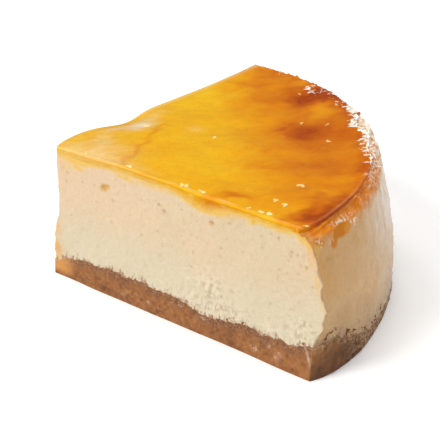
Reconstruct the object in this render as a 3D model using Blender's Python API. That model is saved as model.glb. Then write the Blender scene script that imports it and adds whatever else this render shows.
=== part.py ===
"""A quarter of a small round baked cheesecake: biscuit base, set cheese filling, fruit glaze.

Metres, +Z up. The slice stands on Z = 0 and its origin is under the middle of its bounding box.
The tip points to -X and the baked outer wall to +X. The two cut faces meet at the cake's axis,
and each runs out at HALF_ANGLE from the X direction: the front cut to -Y, the back cut to +Y.

Each layer starts as a cube cut into a grid. A point of that grid is given by three fractions:
out, from the tip (0) to the outer wall (1); across, from the front cut (-1) to the back cut (1);
and up, from the layer's underside (0) to its top (1). The shape functions below turn them into a
place in the slice, so neighbouring layers share their outlines.
"""

import math

import bmesh
import bpy
from mathutils import Vector, noise

COLLECTION_NAME = "baked_cheesecake_slice"

# Driving dimensions
HALF_ANGLE = math.radians(44.9)
CAKE_HEIGHT = 0.0323
BASE_HEIGHT = 0.0064
GLAZE_DEPTH = 0.0013
LAYER_GAP = 0.0003
WIDEST_RADIUS = 0.0770
WIDEST_HEIGHT = 0.0090
FOOT_RADIUS = 0.0766
TOP_RADIUS = 0.0724
RIM_RADIUS = 0.0719
LEAN_POWER = 1.65
TIP_RADIUS = 0.0004
AXIS_PLACE = Vector((-0.0386, 0.0002))

# The outer wall: it tucks in at the foot of the front edge and swells above that
EDGE_REACH = math.radians(3.2)
FOOT_TUCK = 0.0020
EDGE_SWELL = 0.0008
SWELL_START = 0.0075
SWELL_END = 0.0155
EDGE_TOP_TUCK = 0.0004
TOP_TUCK_START = 0.0280
WALL_SWAY = 0.0002
WALL_SWAY_SIZE = 0.013
SHOULDER_WIDTH = 0.0009
SHOULDER_DROP = 0.0018

# The tip: it leans back above the base and the lowest filling
TIP_LEAN = 0.0022
TIP_LEAN_START = 0.0095
TIP_LEAN_END = 0.0170
TIP_FOOT_LEAN = 0.0004
TIP_REACH = 0.0060

# The cut faces: the front one is nearly flat, the back one has a dent near the tip
FRONT_SWAY = 0.00025
FRONT_SWAY_SIZE = 0.013
BACK_SWAY = 0.0006
BACK_SWAY_SIZE = 0.016
STEADY_TIP = 0.0100
DENT_ALONG = 0.0225
DENT_REACH = 0.0065
DENT_BITE = 0.0017
DENT_DIP = 0.0008
DENT_SHARE_AT_FOOT = 0.2
FRONT_SEED = 0.02
BACK_SEED = 0.05

# The top: it falls towards the back cut, the tip droops past a crease, and the rim rises a little
BACK_FALL = 0.0007
BACK_FALL_REACH = 0.045
BACK_FALL_END = 0.072
CREASE_START = Vector((0.0164, -0.0146))
CREASE_END = Vector((0.0262, 0.0098))
CREASE_SOFTNESS = 0.0015
TIP_DROOP_SLOPE = 0.045
RIM_RISE = 0.0013
RIM_RISE_ANGLE = math.radians(6.0)
RIM_RISE_SPREAD = math.radians(25.0)
RIM_RISE_START = 0.0600
TOP_SWAY = 0.0002
TOP_SWAY_SIZE = 0.012

# The glaze: where it soaks deeper at the front cut, and where its rim is ragged
SOAKS = ((0.0460, 0.0016, 0.0055), (0.0725, 0.0014, 0.0045))
RAGGED_ANGLE = math.radians(1.0)
RAGGED_SPREAD = math.radians(12.0)
RAGGED_DEPTH = 0.0022
RAGGED_WAVES = 30.0
RAGGED_SWING = 0.45
RAGGED_MEAN = 0.7
CORNER_TUCK = 0.0011
CORNER_REACH = math.radians(2.2)
RIM_TAPER = 0.0060
RIM_THICKNESS_SHARE = 0.45
RIM_ROUND_WIDTH = 0.0008
RIM_ROUND_DROP = 0.0003

# The biscuit base: thin at the tip, thinner at one place on the front cut, low behind the wall
BASE_TIP_THINNING = 0.0042
BASE_TIP_REACH = 0.0060
BASE_HOLLOW_ALONG = 0.0470
BASE_HOLLOW = 0.0016
BASE_HOLLOW_REACH = 0.0055
BASE_AT_EDGE = 0.0081
BASE_AT_WALL = 0.0030
BASE_FALL_START = math.radians(-42.0)
BASE_FALL_END = math.radians(-27.0)
BASE_WALL_BAND = 0.0090
BASE_UNEVEN = 0.0004
BASE_UNEVEN_SIZE = 0.006
CRUMB_RELIEF = 0.0005
CRUMB_SIZE = 0.0030
CRUMB_START = 0.0020

# The grids: steps out to the glaze's rim and beyond it, steps across, and steps up each layer
STEPS_TO_RIM = 24
STEPS_PAST_RIM = 3
STEPS_ACROSS = 20
STEPS_UP_BASE = 3
STEPS_UP_FILLING = 8
STEPS_UP_GLAZE = 2
RIM_SHARE = STEPS_TO_RIM / (STEPS_TO_RIM + STEPS_PAST_RIM)
LEAST_SIDE_NORMAL = 0.4
FLAT_ANGLE = math.radians(0.05)
CREASED_ANGLE = math.radians(40.0)
NOISE_GAIN = 1.6
TINY = 1e-6

BISCUIT_COLOUR = (0.40, 0.17, 0.07)
CHEESE_COLOUR = (0.83, 0.66, 0.42)
GLAZE_COLOUR = (0.85, 0.38, 0.01)

FRONT_DIRECTION = Vector((math.cos(HALF_ANGLE), -math.sin(HALF_ANGLE)))
FRONT_INWARD = Vector((math.sin(HALF_ANGLE), math.cos(HALF_ANGLE)))
BACK_DIRECTION = Vector((math.cos(HALF_ANGLE), math.sin(HALF_ANGLE)))
BACK_INWARD = Vector((math.sin(HALF_ANGLE), -math.cos(HALF_ANGLE)))


def ease(amount):
    """A smooth step from 0 to 1."""
    amount = min(max(amount, 0.0), 1.0)
    return amount * amount * (3.0 - 2.0 * amount)


def hump(distance, reach):
    """1 at no distance, and close to 0 at twice the reach."""
    return math.exp(-((distance / reach) ** 2))


def sway(x, y, z, size):
    """Gentle unevenness between about -1 and 1 that repeats over about the given size."""
    return NOISE_GAIN * noise.noise(Vector((x, y, z)) / size)


def soft_ramp(distance, softness):
    """0 before the start, then as long as the distance, with a soft bend between."""
    share = distance / softness
    return softness * (max(share, 0.0) + math.log1p(math.exp(-abs(share))))


def wall_radius(angle, z):
    """How far the outer wall stands from the cake's axis: a barrel that leans in towards the top."""
    if z > WIDEST_HEIGHT:
        share = (z - WIDEST_HEIGHT) / (CAKE_HEIGHT - WIDEST_HEIGHT)
        lean = (WIDEST_RADIUS - TOP_RADIUS) * share**LEAN_POWER
    else:
        share = (WIDEST_HEIGHT - z) / WIDEST_HEIGHT
        lean = (WIDEST_RADIUS - FOOT_RADIUS) * share**2
    swell = ease((z - SWELL_START) / (SWELL_END - SWELL_START))
    top_tuck = ease((z - TOP_TUCK_START) / (CAKE_HEIGHT - TOP_TUCK_START))
    edge = -FOOT_TUCK + (FOOT_TUCK + EDGE_SWELL) * swell - (EDGE_SWELL + EDGE_TOP_TUCK) * top_tuck
    near_edge = math.exp(-(angle + HALF_ANGLE) / EDGE_REACH)
    uneven = WALL_SWAY * sway(angle * WIDEST_RADIUS, 0.0, z, WALL_SWAY_SIZE)
    return WIDEST_RADIUS - lean + edge * near_edge + uneven


def rim_radius(angle):
    """How far the glaze reaches from the cake's axis."""
    ragged = RAGGED_DEPTH * hump(angle - RAGGED_ANGLE, RAGGED_SPREAD)
    waves = RAGGED_MEAN + RAGGED_SWING * math.sin(RAGGED_WAVES * angle)
    corner = CORNER_TUCK * math.exp(-(angle + HALF_ANGLE) / CORNER_REACH)
    return RIM_RADIUS - ragged * waves - corner


def tip_place(across):
    """A point of the rounded tip, where the two cuts run into each other."""
    turn = math.pi - across * (math.pi / 2 - HALF_ANGLE)
    middle = TIP_RADIUS / math.sin(HALF_ANGLE)
    return Vector((middle + TIP_RADIUS * math.cos(turn), TIP_RADIUS * math.sin(turn)))


def tip_lean(distance, z):
    """How far the tip is pushed back along the front cut at this height."""
    lean = TIP_FOOT_LEAN * ease(z / BASE_HEIGHT)
    lean += TIP_LEAN * ease((z - TIP_LEAN_START) / (TIP_LEAN_END - TIP_LEAN_START))
    return lean * math.exp(-distance / TIP_REACH)


def back_cut_bite(along, z):
    """How far the back cut lies inside its plane: one dent, deepest at the top, and slow waves."""
    dent = DENT_BITE * hump(along - DENT_ALONG, DENT_REACH)
    dent *= ease(DENT_SHARE_AT_FOOT + z / CAKE_HEIGHT)
    return dent + BACK_SWAY * sway(along, BACK_SEED, z, BACK_SWAY_SIZE)


def plan_place(out, across, z):
    """Where a grid line stands in plan at this height, measured from the cake's axis."""
    angle = across * HALF_ANGLE
    ray = Vector((math.cos(angle), math.sin(angle)))
    rim = rim_radius(angle) * ray
    if out <= RIM_SHARE:
        place = tip_place(across).lerp(rim, out / RIM_SHARE)
    else:
        place = rim.lerp(wall_radius(angle, z) * ray, (out - RIM_SHARE) / (1.0 - RIM_SHARE))
    along = place.length
    front = FRONT_SWAY * sway(along, FRONT_SEED, z, FRONT_SWAY_SIZE) * max(-across, 0.0) ** 2
    back = back_cut_bite(along, z) * max(across, 0.0) ** 2
    place += (FRONT_INWARD * front + BACK_INWARD * back) * ease(along / STEADY_TIP)
    return place + FRONT_DIRECTION * tip_lean(along, z)


def glaze_top(place):
    """The height of the glazed surface."""
    crease = (CREASE_END - CREASE_START).normalized()
    towards_tip = Vector((-crease.y, crease.x))
    past_crease = (place - CREASE_START).dot(towards_tip)
    droop = TIP_DROOP_SLOPE * soft_ramp(past_crease, CREASE_SOFTNESS)
    angle = math.atan2(place.y, place.x)
    rise = RIM_RISE * hump(angle - RIM_RISE_ANGLE, RIM_RISE_SPREAD)
    rise *= ease((place.length - RIM_RISE_START) / (TOP_RADIUS - RIM_RISE_START))
    dip = DENT_DIP * hump((place - DENT_ALONG * BACK_DIRECTION).length, DENT_REACH)
    fall = BACK_FALL * ease(place.dot(FRONT_INWARD) / BACK_FALL_REACH)
    fall *= ease((BACK_FALL_END - place.length) / (BACK_FALL_END - BACK_FALL_REACH))
    uneven = TOP_SWAY * sway(place.x, place.y, 0.0, TOP_SWAY_SIZE)
    return CAKE_HEIGHT - droop + rise - dip - fall + uneven


def glaze_thickness(place):
    """The glaze and the filling it has soaked into: thin at the rim, deeper at a few places."""
    depth = GLAZE_DEPTH
    for along, extra, reach in SOAKS:
        depth += extra * hump((place - along * FRONT_DIRECTION).length, reach)
    from_rim = rim_radius(math.atan2(place.y, place.x)) - place.length
    taper = RIM_THICKNESS_SHARE + (1.0 - RIM_THICKNESS_SHARE) * ease(from_rim / RIM_TAPER)
    return depth * taper


def base_top(place):
    """The height where the biscuit base ends and the filling starts."""
    along = place.length
    angle = math.atan2(place.y, place.x)
    height = BASE_HEIGHT - BASE_TIP_THINNING * math.exp(-along / BASE_TIP_REACH)
    from_hollow = (place - BASE_HOLLOW_ALONG * FRONT_DIRECTION).length
    height -= BASE_HOLLOW * hump(from_hollow, BASE_HOLLOW_REACH)
    fall = ease((angle - BASE_FALL_START) / (BASE_FALL_END - BASE_FALL_START))
    at_wall = BASE_AT_EDGE + (BASE_AT_WALL - BASE_AT_EDGE) * fall
    near_wall = ease(1.0 - (FOOT_RADIUS - along) / BASE_WALL_BAND)
    height += (at_wall - height) * near_wall
    return height + BASE_UNEVEN * sway(place.x, place.y, 0.0, BASE_UNEVEN_SIZE)


def rounding(from_edge, below_top, width, drop):
    """How far inward and down a point near a layer's outer top corner moves to make it an arc."""
    side = max(0.0, 1.0 - from_edge / width)
    top = max(0.0, 1.0 - below_top / drop)
    inward = width * side * (1.0 - math.sqrt(1.0 - top * top / 2.0))
    down = drop * top * (1.0 - math.sqrt(1.0 - side * side / 2.0))
    return inward, down


def base_place(out, across, up):
    """A point of the biscuit base."""
    place = plan_place(out, across, up * BASE_HEIGHT)
    z = up * base_top(place)
    return plan_place(out, across, z), z


def filling_place(out, across, up):
    """A point of the cheese filling, whose top ends in a rounded shoulder outside the glaze."""
    guess = BASE_HEIGHT + up * (CAKE_HEIGHT - GLAZE_DEPTH - BASE_HEIGHT)
    place = plan_place(out, across, guess)
    lowest = base_top(place) + LAYER_GAP
    highest = glaze_top(place) - glaze_thickness(place) - LAYER_GAP
    z = lowest + up * (highest - lowest)
    place = plan_place(out, across, z)
    from_edge = (plan_place(1.0, across, z) - place).length
    inward, down = rounding(from_edge, highest - z, SHOULDER_WIDTH, SHOULDER_DROP)
    return place - place.normalized() * inward, z - down


def glaze_place(out, across, up):
    """A point of the glaze, whose rim is rounded off."""
    place = plan_place(out * RIM_SHARE, across, CAKE_HEIGHT)
    from_edge = (plan_place(RIM_SHARE, across, CAKE_HEIGHT) - place).length
    below_top = (1.0 - up) * glaze_thickness(place)
    inward, down = rounding(from_edge, below_top, RIM_ROUND_WIDTH, RIM_ROUND_DROP)
    return place - place.normalized() * inward, glaze_top(place) - below_top - down


def make_material(name, colour, roughness, coat=0.0):
    """A plain Principled material."""
    material = bpy.data.materials.new(name)
    material.use_nodes = True
    shader = material.node_tree.nodes["Principled BSDF"]
    shader.inputs["Base Color"].default_value = (*colour, 1.0)
    shader.inputs["Roughness"].default_value = roughness
    shader.inputs["Metallic"].default_value = 0.0
    shader.inputs["Coat Weight"].default_value = coat
    material.diffuse_color = (*colour, 1.0)
    return material


def edges_along(mesh, axis):
    """The edges of the grid that run along one axis."""
    return [
        edge
        for edge in mesh.edges
        if abs(edge.verts[0].co[axis] - edge.verts[1].co[axis]) > TINY
    ]


def unit_grid(steps):
    """A unit cube whose faces are cut into the given steps along X, Y and Z."""
    mesh = bmesh.new()
    bmesh.ops.create_cube(mesh, size=1.0)
    for axis, count in enumerate(steps):
        bmesh.ops.subdivide_edges(
            mesh, edges=edges_along(mesh, axis), cuts=count - 1, use_grid_fill=True
        )
    return mesh


def roughen_sides(mesh):
    """Crumbs stand out and fall in on the sides of the base, above its lower edge, off the tip."""
    mesh.normal_update()
    moves = []
    for vertex in mesh.verts:
        outward = Vector((vertex.normal.x, vertex.normal.y, 0.0))
        if outward.length < LEAST_SIDE_NORMAL:
            continue
        from_tip = (vertex.co.xy - AXIS_PLACE).length
        relief = CRUMB_RELIEF * ease(vertex.co.z / CRUMB_START) * ease(from_tip / STEADY_TIP)
        moves.append((vertex, outward.normalized() * relief * sway(*vertex.co, CRUMB_SIZE)))
    for vertex, move in moves:
        vertex.co += move


def make_layer(name, steps, place_of, material, collection, crumbly=False):
    """One closed solid of the slice, from its grid and its own shape function."""
    mesh = unit_grid(steps)
    for vertex in mesh.verts:
        out, across, up = vertex.co.x + 0.5, 2.0 * vertex.co.y, vertex.co.z + 0.5
        place, z = place_of(out, across, up)
        vertex.co = Vector((AXIS_PLACE.x + place.x, AXIS_PLACE.y + place.y, z))
    if crumbly:
        roughen_sides(mesh)
    bmesh.ops.triangulate(mesh, faces=mesh.faces[:], quad_method="SHORT_EDGE")
    if crumbly:
        bmesh.ops.dissolve_limit(
            mesh, angle_limit=FLAT_ANGLE, verts=mesh.verts[:], edges=mesh.edges[:]
        )
    bmesh.ops.recalc_face_normals(mesh, faces=mesh.faces[:])
    data = bpy.data.meshes.new(name)
    mesh.to_mesh(data)
    mesh.free()
    data.materials.append(material)
    data.shade_smooth()
    data.set_sharp_from_angle(angle=CREASED_ANGLE)
    layer = bpy.data.objects.new(name, data)
    collection.objects.link(layer)
    return layer


def main():
    for leftover in list(bpy.data.objects):
        bpy.data.objects.remove(leftover, do_unlink=True)
    collection = bpy.data.collections.new(COLLECTION_NAME)
    bpy.context.scene.collection.children.link(collection)

    biscuit = make_material("biscuit_crumb", BISCUIT_COLOUR, roughness=0.85)
    cheese = make_material("baked_cheese", CHEESE_COLOUR, roughness=0.55)
    glaze = make_material("fruit_glaze", GLAZE_COLOUR, roughness=0.15, coat=0.6)

    steps_out = STEPS_TO_RIM + STEPS_PAST_RIM
    make_layer(
        "biscuit_base",
        (steps_out, STEPS_ACROSS, STEPS_UP_BASE),
        base_place,
        biscuit,
        collection,
        crumbly=True,
    )
    make_layer(
        "cheese_filling",
        (steps_out, STEPS_ACROSS, STEPS_UP_FILLING),
        filling_place,
        cheese,
        collection,
    )
    make_layer(
        "fruit_glaze",
        (STEPS_TO_RIM, STEPS_ACROSS, STEPS_UP_GLAZE),
        glaze_place,
        glaze,
        collection,
    )


main()
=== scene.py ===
import math

import bmesh
import bpy
import numpy as np
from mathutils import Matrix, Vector, noise


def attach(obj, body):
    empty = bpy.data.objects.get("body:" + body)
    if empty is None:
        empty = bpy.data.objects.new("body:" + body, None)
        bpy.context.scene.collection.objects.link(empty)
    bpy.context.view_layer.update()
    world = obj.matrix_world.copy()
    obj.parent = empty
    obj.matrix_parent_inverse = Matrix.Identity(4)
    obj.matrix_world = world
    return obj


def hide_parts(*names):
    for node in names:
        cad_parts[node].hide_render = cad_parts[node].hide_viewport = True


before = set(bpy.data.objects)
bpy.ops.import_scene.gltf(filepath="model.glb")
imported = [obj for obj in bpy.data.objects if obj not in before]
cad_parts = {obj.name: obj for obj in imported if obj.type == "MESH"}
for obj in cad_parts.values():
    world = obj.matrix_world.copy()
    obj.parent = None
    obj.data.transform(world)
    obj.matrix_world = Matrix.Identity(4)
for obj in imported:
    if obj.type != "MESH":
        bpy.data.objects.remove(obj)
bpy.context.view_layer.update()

# All sizes are in metres, but tables, small pits and the waves of bumps in millimetres
MILLIMETRE = 0.001

# The slice's shape, as the solids have it
HALF_ANGLE = math.radians(44.9)
CAKE_HEIGHT = 0.0323
BASE_HEIGHT = 0.0064
GLAZE_DEPTH = 0.0013
WIDEST_RADIUS = 0.0770
WIDEST_HEIGHT = 0.0090
FOOT_RADIUS = 0.0766
TOP_RADIUS = 0.0724
RIM_RADIUS = 0.0719
LEAN_POWER = 1.65
TIP_RADIUS = 0.0004
AXIS_PLACE = np.array((-0.0386, 0.0002))

EDGE_REACH = math.radians(3.2)
FOOT_TUCK = 0.0020
EDGE_SWELL = 0.0008
SWELL_START = 0.0075
SWELL_END = 0.0155
EDGE_TOP_TUCK = 0.0004
TOP_TUCK_START = 0.0280
WALL_SWAY = 0.0002
WALL_SWAY_SIZE = 0.013
SHOULDER_WIDTH = 0.0009
SHOULDER_DROP = 0.0018

TIP_LEAN = 0.0022
TIP_LEAN_START = 0.0095
TIP_LEAN_END = 0.0170
TIP_FOOT_LEAN = 0.0004
TIP_REACH = 0.0060

FRONT_SWAY = 0.00025
FRONT_SWAY_SIZE = 0.013
BACK_SWAY = 0.0006
BACK_SWAY_SIZE = 0.016
STEADY_TIP = 0.0100
DENT_ALONG = 0.0225
DENT_REACH = 0.0065
DENT_BITE = 0.0017
DENT_DIP = 0.0008
DENT_SHARE_AT_FOOT = 0.2
FRONT_SEED = 0.02
BACK_SEED = 0.05

BACK_FALL = 0.0007
BACK_FALL_REACH = 0.045
BACK_FALL_END = 0.072
CREASE_START = np.array((0.0164, -0.0146))
CREASE_END = np.array((0.0262, 0.0098))
CREASE_SOFTNESS = 0.0015
CREASE_WOBBLE = 0.0006
CREASE_WOBBLE_TURNS = 17.0
TIP_DROOP_SLOPE = 0.045
RIM_RISE = 0.0013
RIM_RISE_ANGLE = math.radians(6.0)
RIM_RISE_SPREAD = math.radians(25.0)
RIM_RISE_START = 0.0600
TOP_SWAY = 0.0002
TOP_SWAY_SIZE = 0.012

SOAKS = ((0.0460, 0.0016, 0.0055), (0.0725, 0.0014, 0.0045))
RAGGED_ANGLE = math.radians(1.0)
RAGGED_SPREAD = math.radians(12.0)
RAGGED_DEPTH = 0.0022
RAGGED_WAVES = 30.0
RAGGED_SWING = 0.45
RAGGED_MEAN = 0.7
CORNER_TUCK = 0.0011
CORNER_REACH = math.radians(2.2)
RIM_TAPER = 0.0060
RIM_THICKNESS_SHARE = 0.45

BASE_TIP_THINNING = 0.0042
BASE_TIP_REACH = 0.0045
BASE_HOLLOW_ALONG = 0.0470
BASE_HOLLOW = 0.0016
BASE_HOLLOW_REACH = 0.0055
BASE_AT_EDGE = 0.0081
BASE_AT_WALL = 0.0030
BASE_FALL_START = math.radians(-42.0)
BASE_FALL_END = math.radians(-27.0)
BASE_WALL_BAND = 0.0090
BASE_UNEVEN = 0.0004
BASE_UNEVEN_SIZE = 0.006
RIM_SHARE = 24 / 27
NOISE_GAIN = 1.6

FRONT_DIRECTION = np.array((math.cos(HALF_ANGLE), -math.sin(HALF_ANGLE)))
FRONT_INWARD = np.array((math.sin(HALF_ANGLE), math.cos(HALF_ANGLE)))
BACK_DIRECTION = np.array((math.cos(HALF_ANGLE), math.sin(HALF_ANGLE)))
BACK_INWARD = np.array((math.sin(HALF_ANGLE), -math.cos(HALF_ANGLE)))

# The fine meshes
CUT_STEP = 0.00030
WALL_STEP = 0.00034
LEVEL_STEP = 0.00029
TIP_STEPS = 6
MIDDLE_OUT = 0.6
GLAZE_OVERLAP = 0.00005
GLAZE_ROUND = 0.00035
RIM_ROUND = 0.0007
RIM_DROP = 0.0006
LEDGE_SINK = 0.0005
SEAM_JITTER = 0.00030
SEAM_JITTER_SIZE = 0.0013
TEETH_DEPTH = 0.0009
TEETH_ELSEWHERE = 0.00008
TEETH_ANGLE = math.radians(3.0)
TEETH_SPREAD = math.radians(15.0)
TEETH_SIZE = 0.0014


# Shape functions on arrays

def field(points, size, seed=0.0):
    """Smooth noise between about -1 and 1 at each point, for bumps of about the given size."""
    scaled = (np.asarray(points) / size + seed).tolist()
    return NOISE_GAIN * np.array([noise.noise(point) for point in scaled])


def stacked(x, y, z):
    x, y, z = np.broadcast_arrays(x, y, z)
    return np.stack((x, y, z), axis=-1)


def bumps(points, *waves, least=-np.inf):
    """Sum of noise fields, each with a height and size in millimetres, a seed and a least value."""
    total = 0.0
    for height, size, seed in waves:
        total = total + MILLIMETRE * height * np.maximum(least, field(points, MILLIMETRE * size, seed))
    return total


def unit(amount):
    return np.clip(amount, 0.0, 1.0)


def ease(amount):
    amount = unit(amount)
    return amount * amount * (3.0 - 2.0 * amount)


def hump(distance, reach):
    return np.exp(-((distance / reach) ** 2))


def length(places):
    return np.linalg.norm(places, axis=-1)


def angle_of(places):
    return np.arctan2(places[:, 1], places[:, 0])


def wall_radius(angle, z):
    share = (z - WIDEST_HEIGHT) / (CAKE_HEIGHT - WIDEST_HEIGHT)
    lean_above = (WIDEST_RADIUS - TOP_RADIUS) * np.maximum(share, 0.0) ** LEAN_POWER
    share = (WIDEST_HEIGHT - z) / WIDEST_HEIGHT
    lean_below = (WIDEST_RADIUS - FOOT_RADIUS) * np.maximum(share, 0.0) ** 2
    swell = ease((z - SWELL_START) / (SWELL_END - SWELL_START))
    top_tuck = ease((z - TOP_TUCK_START) / (CAKE_HEIGHT - TOP_TUCK_START))
    edge = -FOOT_TUCK + (FOOT_TUCK + EDGE_SWELL) * swell - (EDGE_SWELL + EDGE_TOP_TUCK) * top_tuck
    near_edge = np.exp(-(angle + HALF_ANGLE) / EDGE_REACH)
    points = stacked(angle * WIDEST_RADIUS, 0.0, z)
    uneven = WALL_SWAY * field(points, WALL_SWAY_SIZE)
    return WIDEST_RADIUS - lean_above - lean_below + edge * near_edge + uneven


def rim_radius(angle):
    ragged = RAGGED_DEPTH * hump(angle - RAGGED_ANGLE, RAGGED_SPREAD)
    waves = RAGGED_MEAN + RAGGED_SWING * np.sin(RAGGED_WAVES * angle)
    corner = CORNER_TUCK * np.exp(-(angle + HALF_ANGLE) / CORNER_REACH)
    arc = stacked(angle * RIM_RADIUS, 0.0, 0.0)
    teeth = TEETH_DEPTH * hump(angle - TEETH_ANGLE, TEETH_SPREAD) + TEETH_ELSEWHERE
    teeth = teeth * (field(arc, TEETH_SIZE, seed=61.0) + 0.6 * field(arc, 0.4 * TEETH_SIZE, seed=62.0))
    return RIM_RADIUS - ragged * waves - corner - teeth


def tip_place(across):
    turn = math.pi - across * (math.pi / 2 - HALF_ANGLE)
    middle = TIP_RADIUS / math.sin(HALF_ANGLE)
    return np.stack((middle + TIP_RADIUS * np.cos(turn), TIP_RADIUS * np.sin(turn)), axis=-1)


def tip_lean(distance, z):
    lean = TIP_FOOT_LEAN * ease(z / BASE_HEIGHT)
    lean = lean + TIP_LEAN * ease((z - TIP_LEAN_START) / (TIP_LEAN_END - TIP_LEAN_START))
    return lean * np.exp(-distance / TIP_REACH)


def front_cut_sway(along, z):
    return FRONT_SWAY * field(stacked(along, FRONT_SEED, z), FRONT_SWAY_SIZE)


def back_cut_bite(along, z):
    dent = DENT_BITE * hump(along - DENT_ALONG, DENT_REACH)
    dent = dent * ease(DENT_SHARE_AT_FOOT + z / CAKE_HEIGHT)
    return dent + BACK_SWAY * field(stacked(along, BACK_SEED, z), BACK_SWAY_SIZE)


def plan_place(out, across, z):
    """Plan places, from the cake's axis, of grid lines given by their fractions out and across."""
    out, across, z = np.broadcast_arrays(out, across, z)
    angle = across * HALF_ANGLE
    ray = np.stack((np.cos(angle), np.sin(angle)), axis=-1)
    rim = rim_radius(angle)[:, None] * ray
    tip = tip_place(across)
    inner = tip + (rim - tip) * unit(out / RIM_SHARE)[:, None]
    outer_share = unit((out - RIM_SHARE) / (1.0 - RIM_SHARE))[:, None]
    place = inner + (wall_radius(angle, z)[:, None] * ray - rim) * outer_share
    along = length(place)
    front = front_cut_sway(along, z) * np.maximum(-across, 0.0) ** 2 * ease(along / STEADY_TIP)
    back = back_cut_bite(along, z) * np.maximum(across, 0.0) ** 2 * ease(along / STEADY_TIP)
    place = place + FRONT_INWARD * front[:, None] + BACK_INWARD * back[:, None]
    return place + FRONT_DIRECTION * tip_lean(along, z)[:, None]


def soft_ramp(distance, softness):
    share = distance / softness
    return softness * (np.maximum(share, 0.0) + np.log1p(np.exp(-np.abs(share))))


def glaze_top(place):
    crease = (CREASE_END - CREASE_START) / np.linalg.norm(CREASE_END - CREASE_START)
    past_crease = (place - CREASE_START) @ np.array((-crease[1], crease[0]))
    droop = TIP_DROOP_SLOPE * soft_ramp(past_crease, CREASE_SOFTNESS)
    along = length(place)
    rise = RIM_RISE * hump(angle_of(place) - RIM_RISE_ANGLE, RIM_RISE_SPREAD)
    rise = rise * ease((along - RIM_RISE_START) / (TOP_RADIUS - RIM_RISE_START))
    dip = DENT_DIP * hump(length(place - DENT_ALONG * BACK_DIRECTION), DENT_REACH)
    fall = BACK_FALL * ease(place @ FRONT_INWARD / BACK_FALL_REACH)
    fall = fall * ease((BACK_FALL_END - along) / (BACK_FALL_END - BACK_FALL_REACH))
    uneven = TOP_SWAY * field(stacked(place[:, 0], place[:, 1], 0.0), TOP_SWAY_SIZE)
    return CAKE_HEIGHT - droop + rise - dip - fall + uneven


def glaze_thickness(place):
    depth = GLAZE_DEPTH
    for along, extra, reach in SOAKS:
        depth = depth + extra * hump(length(place - along * FRONT_DIRECTION), reach)
    from_rim = rim_radius(angle_of(place)) - length(place)
    taper = RIM_THICKNESS_SHARE + (1.0 - RIM_THICKNESS_SHARE) * ease(from_rim / RIM_TAPER)
    return depth * taper


def base_top(place):
    along = length(place)
    height = BASE_HEIGHT - BASE_TIP_THINNING * np.exp(-along / BASE_TIP_REACH)
    from_hollow = length(place - BASE_HOLLOW_ALONG * FRONT_DIRECTION)
    height = height - BASE_HOLLOW * hump(from_hollow, BASE_HOLLOW_REACH)
    fall = ease((angle_of(place) - BASE_FALL_START) / (BASE_FALL_END - BASE_FALL_START))
    at_wall = BASE_AT_EDGE + (BASE_AT_WALL - BASE_AT_EDGE) * fall
    near_wall = ease(1.0 - (FOOT_RADIUS - along) / BASE_WALL_BAND)
    height = height + (at_wall - height) * near_wall
    points = stacked(place[:, 0], place[:, 1], 0.0)
    uneven = BASE_UNEVEN * field(points, BASE_UNEVEN_SIZE) + SEAM_JITTER * field(points, SEAM_JITTER_SIZE)
    return height + uneven


def rounding(from_edge, below_top, width, drop):
    side = np.maximum(0.0, 1.0 - from_edge / width)
    top = np.maximum(0.0, 1.0 - below_top / drop)
    inward = width * side * (1.0 - np.sqrt(1.0 - top * top / 2.0))
    down = drop * top * (1.0 - np.sqrt(1.0 - side * side / 2.0))
    return inward, down


def base_points(out, across, up):
    place = plan_place(out, across, up * BASE_HEIGHT)
    z = up * base_top(place)
    return np.column_stack((plan_place(out, across, z), z))


def filling_points(out, across, up):
    guess = BASE_HEIGHT + up * (CAKE_HEIGHT - GLAZE_DEPTH - BASE_HEIGHT)
    place = plan_place(out, across, guess)
    lowest = base_top(place)
    highest = glaze_top(place) - glaze_thickness(place)
    z = lowest + up * (highest - lowest)
    place = plan_place(out, across, z)
    from_edge = length(plan_place(1.0, across, z) - place)
    inward, down = rounding(from_edge, highest - z, SHOULDER_WIDTH, SHOULDER_DROP)
    place = place - place / length(place)[:, None] * inward[:, None]
    return np.column_stack((place, z - down))


def glaze_points(out, across, up):
    place = plan_place(out * RIM_SHARE, across, CAKE_HEIGHT)
    highest = glaze_top(place)
    below = (1.0 - up) * (glaze_thickness(place) + GLAZE_OVERLAP)
    from_rim = length(plan_place(RIM_SHARE, across, CAKE_HEIGHT) - place)
    ray = place / np.maximum(length(place), 1e-9)[:, None]
    for distance, direction, width, drop in (
        (place @ FRONT_INWARD, FRONT_INWARD, GLAZE_ROUND, GLAZE_ROUND),
        (place @ BACK_INWARD, BACK_INWARD, GLAZE_ROUND, GLAZE_ROUND),
        (from_rim, -ray, RIM_ROUND, RIM_DROP),
    ):
        inward, down = rounding(np.maximum(distance, 0.0), below, width, drop)
        place = place + direction * inward[:, None]
        highest = highest - down
    return np.column_stack((place, highest - below))


# Mesh building

CROWDING = 1.7
SHARP_DEGREES = 50.0


def even_steps(span, step):
    return np.linspace(0.0, 1.0, max(2, round(span / step)) + 1)


def refined_ends(count):
    """Fractions from 0 to 1 that crowd together at both ends."""
    t = np.linspace(-1.0, 1.0, count + 1)
    return 0.5 + 0.5 * np.sign(t) * (1.0 - (1.0 - np.abs(t)) ** CROWDING)


def slice_loop(outs, acrosses, tip_acrosses):
    """The slice's outline as fractions out and across: front cut, wall, back cut and tip."""
    front = [(out, -1.0) for out in outs]
    wall = [(1.0, across) for across in acrosses[1:]]
    back = [(out, 1.0) for out in outs[-2::-1]]
    tip = [(0.0, across) for across in tip_acrosses[-2:0:-1]]
    return np.array(front + wall + back + tip)


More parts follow.
